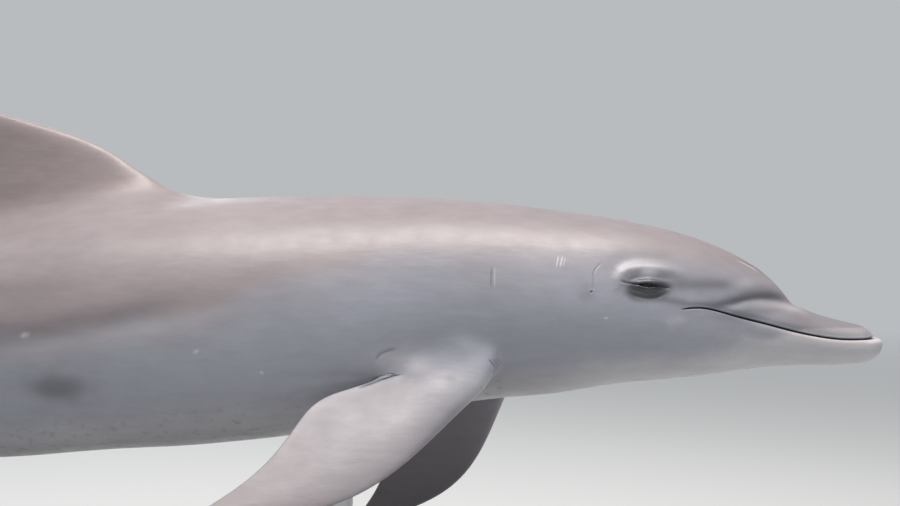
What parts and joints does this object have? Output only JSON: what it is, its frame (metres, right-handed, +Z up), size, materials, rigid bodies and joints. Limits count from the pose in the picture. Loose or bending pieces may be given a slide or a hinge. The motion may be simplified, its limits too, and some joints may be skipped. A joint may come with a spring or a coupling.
{
  "type": "bottlenose dolphin museum model",
  "caption": "Life-size still model of a grey bottlenose dolphin gliding level, flippers held apart, on a plain flat base with steel rods.",
  "frame": {"origin": "centre of the underside of the stand's base, on the floor", "axes": "+X towards the animal's head, +Y towards its left side, +Z up"},
  "size_m": [2.4478, 0.6004, 0.886],
  "materials": {
    "skin": "smooth, semi-gloss, grey with a paler belly",
    "eye": "wet gloss",
    "stand_paint": "satin",
    "stand_steel": "brushed"
  },
  "bodies": {
    "root": {"head": "skin", "upper_jaw": "skin", "lower_jaw": "skin", "neck": "skin", "chest": "skin", "abdomen": "skin", "tail_stock": "skin", "dorsal_fin": "skin", "flipper_left": "skin", "flipper_right": "skin", "fluke_left": "skin", "fluke_right": "skin", "eye_left": "eye", "eye_right": "eye", "stand_base": "stand_paint", "stand_rod_front": "stand_steel", "stand_rod_rear": "stand_steel", "stand_flange_front": "stand_steel", "stand_flange_rear": "stand_steel", "stand_collar_front": "stand_steel", "stand_collar_rear": "stand_steel"}
  },
  "joints": []
}
